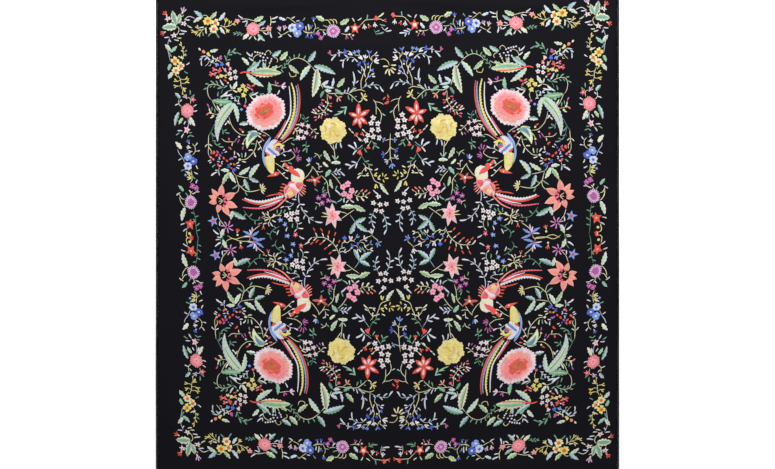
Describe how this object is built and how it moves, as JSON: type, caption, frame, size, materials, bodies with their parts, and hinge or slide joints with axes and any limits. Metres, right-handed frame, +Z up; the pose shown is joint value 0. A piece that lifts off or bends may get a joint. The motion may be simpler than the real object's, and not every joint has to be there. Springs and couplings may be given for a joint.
{
  "type": "manila shawl",
  "caption": "Square black silk shawl laid out flat, with silk embroidery of mirrored flowers, leaves and birds and a narrow rolled hem. Worn folded round the shoulders.",
  "frame": {"origin": "on the surface that the cloth lies on, under the middle of its rectangle", "axes": "+Z up from the surface, +Y towards the edge at the top of the picture (the longer side runs along Y), +X to the picture's right"},
  "size_m": [1.4, 1.46, 0.0055],
  "materials": {
    "black_crepe": "matte crepe with a soft low sheen",
    "blush_floss": "satin stitch in shaded silk floss",
    "yellow_floss": "satin stitch in shaded silk floss",
    "red_floss": "satin stitch in shaded silk floss",
    "coral_floss": "satin stitch in shaded silk floss",
    "pink_floss": "satin stitch in shaded silk floss",
    "violet_floss": "satin stitch in shaded silk floss",
    "blue_floss": "satin stitch in shaded silk floss"
  },
  "bodies": {
    "root": {"ground_cloth": "black_crepe", "hem_top": "black_crepe", "hem_bottom": "black_crepe", "hem_left": "black_crepe", "hem_right": "black_crepe", "chrysanthemum_upper_left": "blush_floss", "yellow_rose_upper_left": "yellow_floss", "star_flower_upper_left": "red_floss", "coral_lily_upper_left": "coral_floss", "pink_lily_upper_left": "pink_floss", "pink_roundel_side_upper_left": "pink_floss", "pink_roundel_end_upper_left": "pink_floss", "purple_roundel_side_upper_left": "violet_floss", "purple_roundel_end_upper_left": "violet_floss", "blue_bird_upper_left": "blue_floss", "blue_bird_tail_upper_left": "blue_floss", "red_bird_upper_left": "red_floss", "red_bird_tail_upper_left": "red_floss", "chrysanthemum_upper_right": "blush_floss", "yellow_rose_upper_right": "yellow_floss", "star_flower_upper_right": "red_floss", "coral_lily_upper_right": "coral_floss", "pink_lily_upper_right": "pink_floss", "pink_roundel_side_upper_right": "pink_floss", "pink_roundel_end_upper_right": "pink_floss", "purple_roundel_side_upper_right": "violet_floss", "purple_roundel_end_upper_right": "violet_floss", "blue_bird_upper_right": "blue_floss", "blue_bird_tail_upper_right": "blue_floss", "red_bird_upper_right": "red_floss", "red_bird_tail_upper_right": "red_floss", "chrysanthemum_lower_left": "blush_floss", "yellow_rose_lower_left": "yellow_floss", "star_flower_lower_left": "red_floss", "coral_lily_lower_left": "coral_floss", "pink_lily_lower_left": "pink_floss", "pink_roundel_side_lower_left": "pink_floss", "pink_roundel_end_lower_left": "pink_floss", "purple_roundel_side_lower_left": "violet_floss", "purple_roundel_end_lower_left": "violet_floss", "blue_bird_lower_left": "blue_floss", "blue_bird_tail_lower_left": "blue_floss", "red_bird_lower_left": "red_floss", "red_bird_tail_lower_left": "red_floss", "chrysanthemum_lower_right": "blush_floss", "yellow_rose_lower_right": "yellow_floss", "star_flower_lower_right": "red_floss", "coral_lily_lower_right": "coral_floss", "pink_lily_lower_right": "pink_floss", "pink_roundel_side_lower_right": "pink_floss", "pink_roundel_end_lower_right": "pink_floss", "purple_roundel_side_lower_right": "violet_floss", "purple_roundel_end_lower_right": "violet_floss", "blue_bird_lower_right": "blue_floss", "blue_bird_tail_lower_right": "blue_floss", "red_bird_lower_right": "red_floss", "red_bird_tail_lower_right": "red_floss"}
  },
  "joints": []
}
